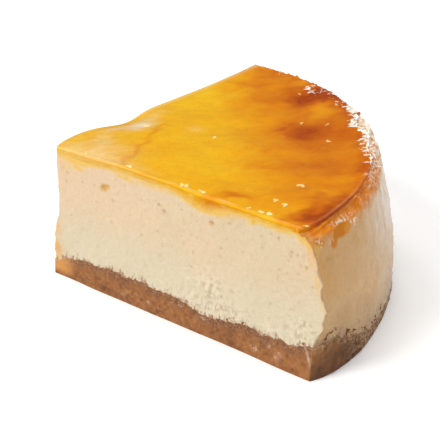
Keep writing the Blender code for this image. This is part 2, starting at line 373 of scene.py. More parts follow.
def rings(points_of, loop, levels):
    """One ring of points for each level, an (up, inset) pair that shrinks the loop to its middle."""
    made = []
    for up, inset in levels:
        out = MIDDLE_OUT + (loop[:, 0] - MIDDLE_OUT) * (1.0 - inset)
        made.append(points_of(out, loop[:, 1] * (1.0 - inset), np.full(len(loop), up)))
    return np.array(made)


def ring_normals(grid):
    """Outward directions of a stack of closed rings."""
    along = np.roll(grid, -1, axis=1) - np.roll(grid, 1, axis=1)
    upward = np.gradient(grid, axis=0)
    normal = np.cross(along, upward)
    return normal / np.maximum(np.linalg.norm(normal, axis=-1, keepdims=True), 1e-12)


def ring_faces(rows, columns):
    faces = []
    for row in range(rows - 1):
        low = row * columns
        for column in range(columns):
            after = (column + 1) % columns
            faces.append((low + column, low + after, low + columns + after, low + columns + column))
    return faces


def flat(grid):
    return grid.reshape(-1, grid.shape[-1])


def spots(u, v, table):
    """Sum of soft spots: middle and half sizes in millimetres, turn in degrees, and strength."""
    total = np.zeros(len(u))
    for at_u, at_v, half_u, half_v, turn, strength in table:
        c, s = math.cos(math.radians(turn)), math.sin(math.radians(turn))
        du, dv = u / MILLIMETRE - at_u, v / MILLIMETRE - at_v
        along, aside = (du * c + dv * s) / half_u, (dv * c - du * s) / half_v
        total += strength * np.exp(-(along * along + aside * aside))
    return total


def capped_faces(rows, columns):
    faces = ring_faces(rows, columns)
    faces.append(tuple(range(columns))[::-1])
    faces.append(tuple(range((rows - 1) * columns, rows * columns)))
    return faces


def to_slice_frame(points):
    placed = points.copy()
    placed[:, :2] += AXIS_PLACE
    return placed


def make_mesh(name, points, faces, attributes, material):
    """A mesh piece in the slice's frame, with its own values for each point."""
    data = bpy.data.meshes.new(name)
    data.from_pydata(to_slice_frame(points).tolist(), [], faces)
    for key, values in attributes.items():
        layer = data.attributes.new(key, "FLOAT", "POINT")
        layer.data.foreach_set("value", np.asarray(values, np.float32))
    data.validate()
    data.materials.append(material)
    data.shade_smooth()
    data.set_sharp_from_angle(angle=math.radians(SHARP_DEGREES))
    piece = bpy.data.objects.new(name, data)
    bpy.context.scene.collection.objects.link(piece)
    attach(piece, "root")
    return piece


# Materials

class Surface:
    """A material under construction: its nodes, with short calls to add and join them."""

    def __init__(self, name, constants):
        self.material = bpy.data.materials.new(name)
        self.material.use_nodes = True
        self.nodes = self.material.node_tree.nodes
        self.links = self.material.node_tree.links
        self.shader = self.nodes["Principled BSDF"]
        self.place = self.nodes.new("ShaderNodeTexCoord").outputs["Object"]
        for socket_name, value in constants.items():
            self.shader.inputs[socket_name].default_value = value

    def add(self, kind, values, **settings):
        """A new node with its settings, and its sockets' values or what they are joined to."""
        node = self.nodes.new("ShaderNode" + kind)
        for key, setting in settings.items():
            setattr(node, key, setting)
        for key, value in values.items():
            socket = node.inputs[key]
            if isinstance(value, bpy.types.NodeSocket):
                self.links.new(value, socket)
            elif socket.type == "RGBA":
                socket.default_value = (*value, 1.0)
            else:
                socket.default_value = value
        return node

    def attribute(self, name):
        return self.add("Attribute", {}, attribute_name=name).outputs["Fac"]

    def stretched(self, scale):
        return self.add("Mapping", {"Vector": self.place, "Scale": scale}).outputs["Vector"]

    def noise(self, size, detail=3.0, roughness=0.5, vector=None, distortion=0.0):
        values = {"Vector": vector or self.place, "Scale": 1.0 / size, "Detail": detail}
        values.update({"Roughness": roughness, "Distortion": distortion})
        return self.add("TexNoise", values).outputs["Fac"]

    def cells(self, size, output="Distance"):
        return self.add("TexVoronoi", {"Vector": self.place, "Scale": 1.0 / size}).outputs[output]

    def ramp(self, value, *stops):
        """A colour or grey ramp through (position, colour) stops."""
        node = self.add("ValToRGB", {"Fac": value})
        elements = node.color_ramp.elements
        while len(elements) < len(stops):
            elements.new(0.5)
        for element, (position, colour) in zip(elements, stops):
            element.position = position
            element.color = (*colour, 1.0) if isinstance(colour, tuple) else (colour, colour, colour, 1.0)
        return node.outputs["Color"]

    def mix(self, share, first, second, blend="MIX"):
        values = {0: share, 6: first, 7: second}
        return self.add("Mix", values, data_type="RGBA", blend_type=blend).outputs[2]

    def both(self, first, second):
        """The product of two shares."""
        return self.mix(1.0, first, second, blend="MULTIPLY")

    def layers(self, colour, *coats):
        """The colour with coats over it, each a share, or an attribute's name, and a colour."""
        for share, other in coats:
            share = self.attribute(share) if isinstance(share, str) else share
            colour = self.mix(share, colour, other)
        return colour

    def level(self, share, start, end):
        """A value that goes from start, where the share is 0, to end."""
        return self.mix(share, (start, start, start), (end, end, end))

    def maths(self, operation, *values, clamp=False):
        values = dict(enumerate(values))
        return self.add("Math", values, operation=operation, use_clamp=clamp).outputs["Value"]

    def glints(self, shards, solid):
        """Where painted glints lie as bright flakes, thickest where the mesh's glint attribute is high."""
        flakes = self.noise(1.0, roughness=0.6, vector=self.stretched(shards))
        flakes = self.maths("MULTIPLY_ADD", self.attribute("painted_glints"), 0.25, flakes)
        glint_zone = self.ramp(self.attribute("painted_glints"), (0.08, 0.0), (0.20, 1.0))
        return self.both(self.ramp(flakes, (0.645, 0.0), (solid, 1.0)), glint_zone)

    def bump(self, height, distance, strength, **below):
        """A bump's normal, over the normal of another bump if Normal is given."""
        values = {"Height": height, "Distance": distance, "Strength": strength, **below}
        return self.add("Bump", values).outputs["Normal"]

    def connect(self, socket_name, source):
        self.links.new(source, self.shader.inputs[socket_name])


def cut_colour(s):
    """Pale cream cheese, with curds, painted shade in its pits, and a crumbly patch painted with light and
    shade.
    """
    broad = s.noise(0.018, detail=2.0)
    mottle = s.noise(0.0016, detail=4.0, roughness=0.65)
    chunk_light_and_shade = s.noise(0.0011, detail=4.0, roughness=0.65)
    chunk_light_and_shade = s.ramp(chunk_light_and_shade, (0.38, (0.52, 0.38, 0.23)), (0.50, (0.77, 0.68, 0.50)))
    curd = s.noise(0.0005, roughness=0.7)
    cream = s.mix(s.ramp(broad, (0.35, 0.0), (0.7, 1.0)), (0.72, 0.55, 0.355), (0.67, 0.53, 0.345))
    return s.layers(
        cream,
        ("pinkness", (0.735, 0.525, 0.345)),
        (s.ramp(mottle, (0.3, 0.22), (0.62, 0.0)), (0.64, 0.455, 0.26)),
        # Painted shade in the pits and holes
        ("pit_shade", (0.50, 0.29, 0.085)),
        ("low", (0.66, 0.585, 0.41)),
        # Painted light and shade on the crumbly chunks
        ("painted_chunk_shading", chunk_light_and_shade),
        (s.ramp(curd, (0.34, 0.22), (0.46, 0.0)), (0.58, 0.41, 0.25)),
        (s.ramp(curd, (0.54, 0.0), (0.68, 0.28)), (0.80, 0.68, 0.50)),
    )


def skin_colour(s, blotch, grain):
    """The wall's tan baked skin, its brown crust at the top, its darker foot and a painted whitish sheen.
    """
    tan = s.mix(s.ramp(blotch, (0.32, 0.0), (0.68, 1.0)), (0.63, 0.35, 0.12), (0.72, 0.455, 0.205))
    return s.layers(
        tan,
        (s.ramp(grain, (0.35, 0.25), (0.6, 0.0)), (0.48, 0.28, 0.12)),
        ("pale", (0.72, 0.55, 0.39)),
        ("painted_wall_sheen", (0.82, 0.76, 0.69)),
        ("tan", (0.62, 0.325, 0.085)),
        (s.ramp(s.attribute("foot"), (0.1, 0.5), (1.0, 0.0)), (0.28, 0.19, 0.07)),
        ("crust", (0.66, 0.255, 0.055)),
    )


def stain_share(s):
    """How far the glaze has stained the cheese under it, with a ragged edge."""
    ragged = s.maths("MULTIPLY_ADD", s.noise(0.0012), 0.8, -0.40)
    stain = s.ramp(s.maths("ADD", s.attribute("stain"), ragged), (0.25, 0.0), (0.80, 1.0))
    return s.both(stain, s.ramp(s.attribute("stain"), (0.02, 0.0), (0.2, 1.0)))


def cheese_surface():
    """Set cheese at the cuts, its baked skin on the wall, the glaze's stain and jam on both."""
    s = Surface("baked_cheese_look", {
        "Roughness": 0.5, "Specular IOR Level": 0.35, "Coat Roughness": 0.08, "Subsurface Weight": 0.12,
        "Subsurface Radius": (1.0, 0.55, 0.25), "Subsurface Scale": 0.0008,
    })
    blotch = s.noise(0.007, detail=4.0, roughness=0.6)
    grain = s.noise(0.0011, roughness=0.6)
    spill = s.mix(s.ramp(grain, (0.38, 0.0), (0.62, 1.0)), (0.68, 0.240, 0.040), (0.77, 0.345, 0.080))
    rim = s.mix(s.ramp(grain, (0.40, 0.0), (0.60, 1.0)), (0.82, 0.210, 0.014), (0.92, 0.290, 0.012))
    jam = s.maths("MULTIPLY_ADD", s.noise(0.0013, detail=4.0, roughness=0.6), 0.9, s.attribute("jam"))
    jam = s.ramp(jam, (0.64, 0.0), (0.84, 1.0))
    jam_colour = s.mix(s.ramp(blotch, (0.35, 0.0), (0.65, 1.0)), (0.60, 0.180, 0.001), (0.74, 0.265, 0.003))
    hairs = s.noise(1.0, detail=4.0, roughness=0.6, vector=s.stretched((1200.0, 1200.0, 650.0)))
    hairs = s.ramp(hairs, (0.32, 0.0), (0.66, 0.6))
    s.connect("Base Color", s.layers(
        cut_colour(s),
        ("skin", skin_colour(s, blotch, grain)),
        ("orange", (0.74, 0.36, 0.08)),
        ("spill", spill),
        ("rim", rim),
        (jam, jam_colour),
        # Bright flakes on the shoulder and wall are painted glints
        (s.glints((1300.0, 1600.0, 1200.0), 0.70), (0.88, 0.72, 0.54)),
        (stain_share(s), (0.76, 0.47, 0.09)),
        (s.ramp(s.maths("ADD", hairs, s.attribute("foot")), (0.28, 0.9), (0.52, 0.0)), (0.37, 0.205, 0.12)),
    ))
    s.connect("Roughness", s.level(s.attribute("skin"), 0.50, 0.22))
    s.connect("Coat Weight", s.attribute("wet"))
    smooth = s.maths("ADD", s.attribute("spill"), s.attribute("rim"))
    s.connect("Specular IOR Level", s.level(s.maths("ADD", smooth, jam, clamp=True), 0.35, 0.05))
    pores = s.bump(s.ramp(s.cells(0.0009), (0.0, 0.0), (0.22, 1.0)), 0.00006, 0.5)
    s.connect("Normal", s.bump(s.noise(0.0004, detail=4.0, roughness=0.7), 0.00022, 0.9, Normal=pores))
    return s.material


def biscuit_surface():
    """Pressed biscuit crumb: pale and dark grains at the cuts, painted shade in its holes and under the
    cheese, dark brown where it was baked.
    """
    s = Surface("biscuit_crumb_look", {
        "Roughness": 0.8, "Specular IOR Level": 0.25, "Subsurface Weight": 0.08,
        "Subsurface Radius": (1.0, 0.5, 0.25), "Subsurface Scale": 0.0008,
    })
    grains = s.ramp(
        s.cells(0.0007, output="Color"), (0.1, (0.23, 0.088, 0.032)), (0.45, (0.31, 0.125, 0.044)),
        (0.75, (0.37, 0.157, 0.054)), (0.95, (0.46, 0.22, 0.088)),
    )
    clouds = s.noise(0.005, detail=4.0, roughness=0.6)
    shade = s.noise(0.0030, detail=4.0, roughness=0.65)
    powder = s.noise(0.0004, roughness=0.7)
    under_seam = s.ramp(s.attribute("head"), (0.02, 1.0), (0.55, 0.0))
    flour = s.both(s.ramp(powder, (0.50, 0.0), (0.66, 0.8)), under_seam)
    grit = s.ramp(s.noise(0.0009, detail=4.0, roughness=0.7), (0.46, 0.0), (0.56, 0.9))
    broken = s.ramp(s.noise(0.0005, roughness=0.65), (0.40, 0.35), (0.56, 1.0))
    s.connect("Base Color", s.layers(
        grains,
        (s.ramp(clouds, (0.35, 0.0), (0.65, 0.7)), (0.39, 0.155, 0.044)),
        (s.ramp(shade, (0.34, 0.75), (0.48, 0.0)), (0.20, 0.075, 0.032)),
        (s.ramp(shade, (0.54, 0.0), (0.68, 0.55)), (0.41, 0.18, 0.066)),
        (s.ramp(powder, (0.60, 0.0), (0.78, 0.35)), (0.58, 0.34, 0.17)),
        ("gaps_and_shade", (0.17, 0.065, 0.028)),
        ("orange", (0.74, 0.34, 0.09)),
        ("baked", (0.135, 0.058, 0.028)),
        (flour, (0.56, 0.38, 0.25)),
        (s.both(s.attribute("dust"), grit), (0.54, 0.35, 0.19)),
        (s.both(s.attribute("fleck"), broken), (0.78, 0.60, 0.43)),
    ))
    s.connect("Normal", s.bump(s.noise(0.0006, detail=5.0, roughness=0.7), 0.0003, 0.8))
    return s.material


def amber_colour(s):
    """The glaze's own clouded yellow, orange and burnt brown."""
    toast = s.attribute("toast")
    for size, gain, squash in ((0.011, 0.30, 0.8), (0.0040, 0.26, 0.9), (0.0012, 0.12, 0.9)):
        stretched = s.stretched((squash, 1.0, 1.0))
        clouds = s.noise(size, detail=4.0, roughness=0.6, vector=stretched, distortion=0.5)
        toast = s.maths("ADD", toast, s.maths("MULTIPLY_ADD", clouds, gain, -gain / 2.0), clamp=True)
    return s.ramp(
        toast, (0.0, (0.90, 0.55, 0.018)), (0.20, (0.87, 0.450, 0.010)), (0.42, (0.80, 0.315, 0.005)),
        (0.62, (0.69, 0.200, 0.004)), (0.80, (0.54, 0.110, 0.004)), (1.0, (0.36, 0.052, 0.005)),
    )


def glaze_surface():
    """Clear amber glaze over a browned top, with a painted reflection near the tip and painted glints at
    the far rim.
    """
    s = Surface("fruit_glaze_look", {
        "Roughness": 0.10, "Specular IOR Level": 0.22, "Coat Weight": 0.15, "Coat Roughness": 0.02,
        "Subsurface Weight": 0.12, "Subsurface Radius": (1.0, 0.5, 0.1), "Subsurface Scale": 0.0010,
    })
    patchy = s.ramp(s.noise(0.004, detail=4.0, roughness=0.65), (0.3, 0.35), (0.65, 1.0))
    # Pale patches near the tip: a painted reflection on the glaze
    painted_reflection = s.both(s.attribute("painted_reflection"), patchy)
    colour = s.layers(amber_colour(s), (painted_reflection, (0.93, 0.71, 0.38)), ("bare", (0.93, 0.72, 0.46)))
    # The glaze's sides are painted darker than its top: painted shade
    side = s.ramp(s.attribute("fade"), (0.0, 0.0), (0.10, 1.0))
    colour = s.mix(side, colour, (0.77, 0.70, 0.58), blend="MULTIPLY")
    ragged_foot = s.maths("MULTIPLY_ADD", s.noise(0.0014), 0.6, -0.30)
    fade = s.ramp(s.maths("ADD", s.attribute("fade"), ragged_foot), (0.42, 0.0), (1.0, 1.0))
    grit = s.ramp(s.noise(0.0006, roughness=0.7), (0.36, 0.22), (0.47, 0.0))
    s.connect("Base Color", s.layers(
        colour,
        (fade, (0.72, 0.43, 0.10)),
        (grit, (0.56, 0.19, 0.006)),
        # Bright lines along the glaze's edges are painted highlights
        ("painted_sheen", (0.95, 0.80, 0.48)),
        # Bright flakes at the far rim are painted glints
        (s.glints((450.0, 900.0, 900.0), 0.685), (0.98, 0.90, 0.77)),
        # The beads' pale colour is a painted highlight on the bubbles
        ("bead_highlight", (1.0, 0.85, 0.34)),
    ))
    s.connect("Specular IOR Level", s.level(s.attribute("dull"), 0.22, 0.04))
    s.connect("Coat Weight", s.level(s.attribute("dull"), 0.15, 0.0))
    s.connect("Normal", s.bump(s.noise(0.0016, detail=4.0, roughness=0.6), 0.00012, 0.35))
    return s.material


# The layers under the glaze

CAP_INSETS = (
    0.003, 0.006, 0.01, 0.015, 0.02, 0.03, 0.045, 0.07, 0.11, 0.17, 0.25, 0.35, 0.47, 0.61, 0.77, 0.92,
)
HIDDEN_INSETS = (0.02, 0.07, 0.15, 0.27, 0.42, 0.6, 0.8, 0.93)


class Layer:
    """A layer's rings of points and where each point lies, before any relief moves it."""

    def __init__(self, points_of, height, sunk_insets, cap_insets):
        inner = even_steps(RIM_RADIUS, CUT_STEP) * RIM_SHARE
        outer = RIM_SHARE + even_steps(WIDEST_RADIUS - RIM_RADIUS, CUT_STEP) * (1.0 - RIM_SHARE)
        acrosses = 2.0 * even_steps(2.0 * HALF_ANGLE * WIDEST_RADIUS, WALL_STEP) - 1.0
        tip_acrosses = np.linspace(-1.0, 1.0, TIP_STEPS + 1)
        loop = slice_loop(np.concatenate((inner, outer[1:])), acrosses, tip_acrosses)
        levels = [(0.0, inset) for inset in sunk_insets[::-1]]
        levels += [(up, 0.0) for up in even_steps(height, LEVEL_STEP)]
        levels += [(1.0, inset) for inset in cap_insets]
        grid = rings(points_of, loop, levels)
        self.normals = flat(ring_normals(grid))
        self.points = flat(grid)
        self.faces = capped_faces(len(levels), len(loop))

        # Shares, 0 or 1, of each face of the slice
        self.up, inset = np.repeat(levels, len(loop), axis=0).T
        out, across = np.tile(loop, (len(levels), 1)).T
        self.on_wall = 1.0 * (out >= 1.0 - 1e-9)
        self.on_front = (across <= -1.0 + 1e-9) * (1.0 - self.on_wall)
        self.on_back = (across >= 1.0 - 1e-9) * (1.0 - self.on_wall)
        self.on_side = 1.0 * (inset == 0.0)
        self.on_cap = (self.up == 1.0) * (1.0 - self.on_side)
        self.on_cut = (self.on_front + self.on_back) * self.on_side
        self.on_skin = unit(self.on_wall + self.on_cap)

        self.along = length(self.points[:, :2])
        self.angle = angle_of(self.points)
        self.degrees = np.degrees(self.angle)
        self.arc = self.angle * WIDEST_RADIUS
        self.z = self.points[:, 2]
        self.above_base = self.z - base_top(self.points[:, :2])
        self.past_front = self.arc + HALF_ANGLE * WIDEST_RADIUS
        self.past_edge = np.minimum(self.past_front, HALF_ANGLE * WIDEST_RADIUS - self.arc)

    def spots(self, table):
        """Soft spots on a cut, by distance from the tip and height."""
        return spots(self.along, self.z, table)

    def wall_spots(self, table):
        """Soft spots on the wall, by distance round it from the bisector and height."""
        return spots(self.arc, self.z, table)


# The filling, with its tables in millimetres. Pits in the front cut: distance from the tip, height,
# radius and depth
PITS = (
    (17.4, 25.9, 0.65, 0.6), (18.4, 26.3, 0.5, 0.4), (35.1, 25.5, 0.4, 0.35), (33.7, 26.6, 0.3, 0.3),
    (48.5, 26.8, 0.5, 0.4), (5.5, 24.3, 0.4, 0.2), (59.5, 30.3, 0.4, 0.3), (65.9, 28.8, 0.3, 0.3),
    (53.5, 28.3, 0.3, 0.2), (64.1, 29.1, 0.3, 0.25), (69.4, 26.9, 0.35, 0.3), (70.7, 26.7, 0.3, 0.3),
    (73.0, 24.6, 0.35, 0.3), (74.5, 12.4, 0.4, 0.3), (75.1, 10.9, 0.45, 0.4), (63.9, 13.4, 0.4, 0.3),
    (69.8, 14.4, 0.3, 0.3), (68.3, 9.8, 0.4, 0.3), (72.5, 11.8, 0.4, 0.3), (54.0, 13.0, 0.4, 0.3),
)
# Small pits, how many there are and the ranges of the same measures, and holes in a crumbly patch
SMALL_PITS = 150
SMALL_PIT_ALONG = (4.0, 75.0)
SMALL_PIT_HEIGHT = (8.0, 30.0)
SMALL_PIT_RADIUS = (0.14, 0.30)
PIT_SPREAD = 1.15
HOLE_DEPTH = 0.0004
# Soft spots on the front cut
CUT_STAINS = (
    (11.0, 30.3, 2.6, 0.6, 4, 1.1), (9.8, 28.4, 1.4, 0.5, 0, 0.7), (24.0, 29.7, 3.0, 0.6, -6, 0.6),
    (8.5, 30.0, 5.0, 0.9, -10, 0.25), (17.8, 26.1, 1.6, 0.6, 25, 0.55), (33.0, 29.8, 6.0, 0.8, 0, 0.3),
    (49.0, 29.6, 5.0, 1.2, 0, 0.45), (59.0, 30.1, 1.2, 1.0, 0, 0.4), (66.0, 30.4, 6.0, 0.6, 0, 0.25),
    (73.8, 29.7, 2.2, 1.0, 0, 0.5), (6.0, 28.5, 5.5, 3.0, 0, 0.4),
)
CUT_ORANGE = (
    (50.0, 30.0, 4.5, 1.2, 0, 0.45), (74.2, 27.5, 1.2, 2.8, 0, 0.4), (1.6, 11.8, 1.1, 1.7, -20, 0.6),
    (2.0, 6.5, 1.0, 2.0, 0, 0.25), (0.8, 7.4, 1.2, 1.2, 0, 0.65), (0.8, 4.0, 3.0, 4.0, 0, 0.5),
    (17.6, 26.0, 1.1, 0.6, 25, 0.75), (48.5, 26.8, 0.5, 0.4, 0, 0.35), (59.5, 30.3, 0.7, 0.6, 0, 0.4),
)
CUT_CRUMBLY = (
    (48.0, 9.5, 8.5, 6.0, 0, 1.0), (72.0, 11.0, 5.0, 6.0, 0, 0.8), (56.0, 7.0, 8.0, 2.5, 0, 0.6),
)
# Bulges of the cut's outer edge: height, size and reach
CORNER_BURRS = ((26.2, 0.3, 1.2), (22.2, 0.8, 1.4), (17.0, 1.2, 1.4), (12.5, 0.6, 1.2))
# Soft spots on the wall
JAM_FILM = (
    (-48.0, 28.7, 3.4, 1.3, -6, 1.0), (-52.0, 27.5, 1.4, 1.0, 30, 0.8),
    (-57.5, 29.3, 2.0, 0.8, -30, 0.45),
)
WALL_GOLD = ((-59.3, 23.5, 1.0, 6.2, 0, 0.55), (-58.6, 28.6, 2.2, 1.4, 0, 0.7))
# Where painted glints gather on the wall
WALL_GLINT_SPOTS = (
    (-47.8, 30.6, 4.0, 0.6, -2, 0.82), (-43.0, 29.0, 2.2, 0.8, -35, 0.65),
    (-57.8, 29.6, 1.6, 1.0, -30, 0.6), (-25.0, 32.0, 6.0, 0.8, 8, 0.45),
    (-53.5, 28.1, 1.2, 0.5, -10, 0.8),
)
CRACK_ANGLE = math.radians(-40.4)
CRACK_HEIGHT = 0.0076
CRACK_SLOPE = 6.0
CRACK_DEPTH = 0.0006
TOP_BAND_START = 0.0058
TOP_BAND_FADE = 0.0035
SPILL_HEIGHT = 0.0282
SPILL_END = -0.014


def pit_field(layer, pits):
    """Depth of the round pits at each point of a cut face."""
    along, z = layer.along / MILLIMETRE, layer.z / MILLIMETRE
    depth = np.zeros(len(along))
    for at, height, radius, deep in pits:
        near = np.abs(along - at) < 3.0 * radius
        distance = np.hypot(along[near] - at, (z[near] - height) * PIT_SPREAD)
        depth[near] = np.maximum(depth[near], 1.2 * deep * hump(distance, PIT_SPREAD * radius))
    return depth * MILLIMETRE


def small_pits(seed, count):
    draw = np.random.default_rng(seed)
    along = draw.uniform(*SMALL_PIT_ALONG, count)
    height = draw.uniform(*SMALL_PIT_HEIGHT, count)
    radius = draw.uniform(*SMALL_PIT_RADIUS, count)
    return list(zip(along, height, radius, radius * 0.7))


class Filling(Layer):
    """The cheese, with what its relief and its colours share."""

    def __init__(self):
        super().__init__(filling_points, CAKE_HEIGHT - BASE_HEIGHT, HIDDEN_INSETS, CAP_INSETS)
        points, z = self.points, self.z
        within = np.clip(self.angle, -HALF_ANGLE, HALF_ANGLE)
        self.top = glaze_top(points[:, :2])
        self.from_wall = wall_radius(within, z) - self.along
        self.from_rim = rim_radius(within) - self.along
        self.near_top = ease((z - (self.top - TOP_BAND_START)) / TOP_BAND_FADE)
        self.jam = unit(self.wall_spots(JAM_FILM) * self.on_wall)

        crumbly = self.spots(CUT_CRUMBLY) * self.on_front
        crumbly = crumbly + 0.3 * hump(self.above_base - 0.001, 0.002) * self.on_cut
        self.crumbly = unit(crumbly * (0.65 + 0.6 * field(points, 0.004, seed=5.0))) * self.on_cut
        self.pits = pit_field(self, [*PITS, *small_pits(7, SMALL_PITS)]) * self.on_front
        self.pits += pit_field(self, small_pits(8, 2 * SMALL_PITS)) * self.on_back
        self.holes = np.maximum(0.0, field(points, 0.0011, seed=11.0) - 0.15) * self.crumbly
        self.crack = hump(self.angle - CRACK_ANGLE - CRACK_SLOPE * (z - CRACK_HEIGHT), math.radians(0.40))
        self.crack = self.crack * hump(z - CRACK_HEIGHT, 0.0016) * self.on_wall

    def cut_relief(self):
        """Lumps, grains where it is crumbly, pits and holes."""
        lumps = bumps(self.points, (0.12, 4.5, 2.0), (0.08, 1.4, 4.0), (0.07, 0.7, 4.5))
        lumps += bumps(self.points, (0.22, 2.1, 4.7)) * hump(self.along, 0.003)
        grains = bumps(self.points, (0.34, 0.9, 9.0)) + bumps(self.points, (0.40, 1.9, 9.5), least=-0.2)
        return lumps + grains * self.crumbly - self.pits - HOLE_DEPTH * self.holes

    def skin_relief(self):
        """The baked skin's wrinkles, and its blisters near the top."""
        wrinkles = bumps(stacked(self.arc * 2.5, 0.0, self.z), (0.06, 6.0, 1.0))
        wrinkles = wrinkles * (1.0 + ease((self.angle + 0.55) / 0.2))
        wrinkles += bumps(self.points, (0.12, 3.0, 6.0), (0.06, 1.1, 7.0))
        blisters = bumps(self.points, (0.45, 1.7, 12.0), (0.28, 0.8, 13.0), least=0.0) * self.near_top
        blisters = blisters * (1.0 - unit(self.wall_spots(JAM_FILM) * 1.5))
        return wrinkles, blisters * (1.0 - 0.6 * ease((math.radians(-26.0) - self.angle) / 0.15))

    def corner_burr(self, from_corner):
        """How far the upright edges of the cuts bulge out."""
        burr = bumps(stacked(0.0, 0.0, self.z), (0.22, 1.2, 15.0))
        for height, bulge, reach in MILLIMETRE * np.array(CORNER_BURRS):
            burr += bulge * hump(self.z - height, reach)
        burr = burr * hump(from_corner, np.where(self.on_wall > 0.5, 0.0009, 0.0014))
        return burr * ease((self.z - 0.004) / 0.004) * ease((0.0300 - self.z) / 0.003) * self.on_side

    def shelf(self):
        """Where the skin sinks to a ledge outside the glaze, near the front corner."""
        ledge = hump(self.from_rim + 0.0008, 0.0006) * ease((self.up - 0.85) / 0.12)
        return ledge * ease((math.radians(-12.0) - self.angle) / 0.25)

    def shape(self):
        """The points with all their relief."""
        shown = self.on_side + self.on_cap
        from_corner = np.where(self.on_wall > 0.5, self.past_edge, np.maximum(self.from_wall, 0.0))
        steady = ease(from_corner / 0.0010)
        wrinkles, blisters = self.skin_relief()
        wall = wrinkles + blisters - CRACK_DEPTH * self.crack
        wall += bumps(self.points, (0.10, 1.2, 16.0), least=0.0) * ease((self.angle + 0.6) / 0.3)
        side = np.where(self.on_wall > 0.5, wall * steady, self.cut_relief() * (0.2 + 0.8 * steady))
        cap = (blisters + 0.5 * wrinkles) * ease((self.along - 0.066) / 0.003) * self.on_cap
        relief = np.where(self.on_side > 0.5, side, cap) * shown
        relief = relief * np.maximum(ease(self.above_base / 0.0004 + 0.3), self.on_cap)
        points = self.points + self.normals * relief[:, None]
        outward = self.points[:, :2] / np.maximum(self.along, 1e-6)[:, None]
        points[:, :2] += outward * self.corner_burr(from_corner)[:, None]
        points[:, 2] -= LEDGE_SINK * self.shelf() * shown
        return points

    def cut_colours(self, points):
        """Values for the material: painted shade in the cuts' pits, painted light and shade on their
        crumbs, and the glaze's stain all round.
        """
        below_glaze = self.top - glaze_thickness(points[:, :2]) - self.z
        stain = np.exp(-np.maximum(below_glaze, 0.0) / 0.0007) * self.on_cut
        stain += self.spots(CUT_STAINS) * self.on_front
        at_wall = hump(self.from_wall, 0.0018) * ease((self.z - 0.010) / 0.008)
        stain += 0.40 * at_wall * self.on_front * self.on_side
        gold = self.wall_spots(WALL_GOLD) * self.on_wall
        orange = self.spots(CUT_ORANGE) * self.on_front * self.on_side
        orange += 0.6 * hump(below_glaze, 0.0006) * hump(self.along - 0.050, 0.006) * self.on_front
        orange += 0.8 * self.on_cap * ease((math.radians(-8.0) - self.angle) / 0.2)
        return {
            # Painted shade in the pits and holes, and where the chunks get painted light and shade
            "pit_shade": np.clip(self.pits / 0.0005, 0.0, 0.8) + np.clip(self.holes * 0.20, 0.0, 0.2),
            "painted_chunk_shading": 0.75 * self.crumbly,
            "low": 0.9 * ease(1.0 - (self.above_base - 0.001) / 0.015) * self.on_cut,
            "pinkness": 0.8 * ease((0.036 - self.along) / 0.025) * ease((self.z - 0.012) / 0.012),
            "stain": unit(stain + 0.55 * gold),
            "orange": unit(orange + 0.7 * gold),
        }

    def skin_colours(self, points):
        """Values for the material: where the baked skin is, what lies on it, and where painted glints and a
        painted sheen go.
        """
        z, arc, angle, on_wall, on_skin = self.z, self.arc, self.angle, self.on_wall, self.on_skin
        pale_lip = 0.0001 + 0.4 * bumps(stacked(0.0, 0.0, z), (1.1, 4.2, 3.0), (0.5, 1.6, 3.5))
        skin = ease((self.past_edge - pale_lip) / 0.0006 + 0.5) * on_wall
        in_front = ease((SPILL_END - arc) / 0.014) * on_skin
        spill = ease((z - SPILL_HEIGHT) / 0.0026 + 0.25 * field(points, 0.0022, seed=19.0))
        rim = ease((0.0018 + 0.0004 * field(points, 0.002, seed=20.0) + self.from_rim) / 0.0008)
        rim = rim * ease((self.past_front - 0.0012) / 0.0016) * ease((self.up - 0.8) / 0.1)
        streaks = unit(0.65 + 0.5 * field(stacked(arc, 0.0, 0.15 * z), 0.0014, seed=17.0))
        tan = 0.9 * hump(arc + 0.0572, 0.0026) + 0.70 * ease((-0.030 - arc) / 0.02)
        # Painted glints near the top of the far wall, and in spots
        painted_glints = self.near_top * hump(self.degrees - 3.0, 18.0) + self.wall_spots(WALL_GLINT_SPOTS)
        # The crack lowers the foot value, darkening it: painted shade in the crack
        foot = self.above_base / (0.0045 + 0.0055 * on_wall) + 0.05 - 0.9 * self.crack
        away = ease((angle + math.radians(30.0)) / math.radians(26.0))
        return {
            "skin": np.where(self.on_side > 0.5, skin, ease((self.along - 0.068) / 0.002)),
            "jam": self.jam,
            "spill": 0.9 * spill * (1.0 - 0.5 * ease((arc + 0.036) / 0.012)) * in_front,
            "rim": 0.9 * rim * in_front,
            "crust": unit(self.near_top * (0.80 + 0.30 * field(points, 0.0016, seed=21.0)) * on_skin),
            "pale": away * (1.0 - self.near_top) * on_wall,
            "foot": unit(foot),
            "tan": unit(tan) * ease((z - 0.012) / 0.012) * on_wall,
            "wet": 0.12 * self.near_top * (1.0 - unit(1.5 * self.jam)) * on_skin,
            # A painted whitish sheen in streaks on the wall near the far shoulder
            "painted_wall_sheen": 0.75 * streaks * hump(self.degrees + 12.0, 11.0) * hump(z - 0.0230, 0.0060) * on_wall,
            "painted_glints": np.clip(painted_glints, 0.0, 0.95) * on_skin,
        }


def make_filling(material):
    filling = Filling()
    points = filling.shape()
    attributes = {**filling.cut_colours(points), **filling.skin_colours(points)}
    piece = make_mesh("cheese_body", points, filling.faces, attributes, material)
    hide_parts("cheese_filling")


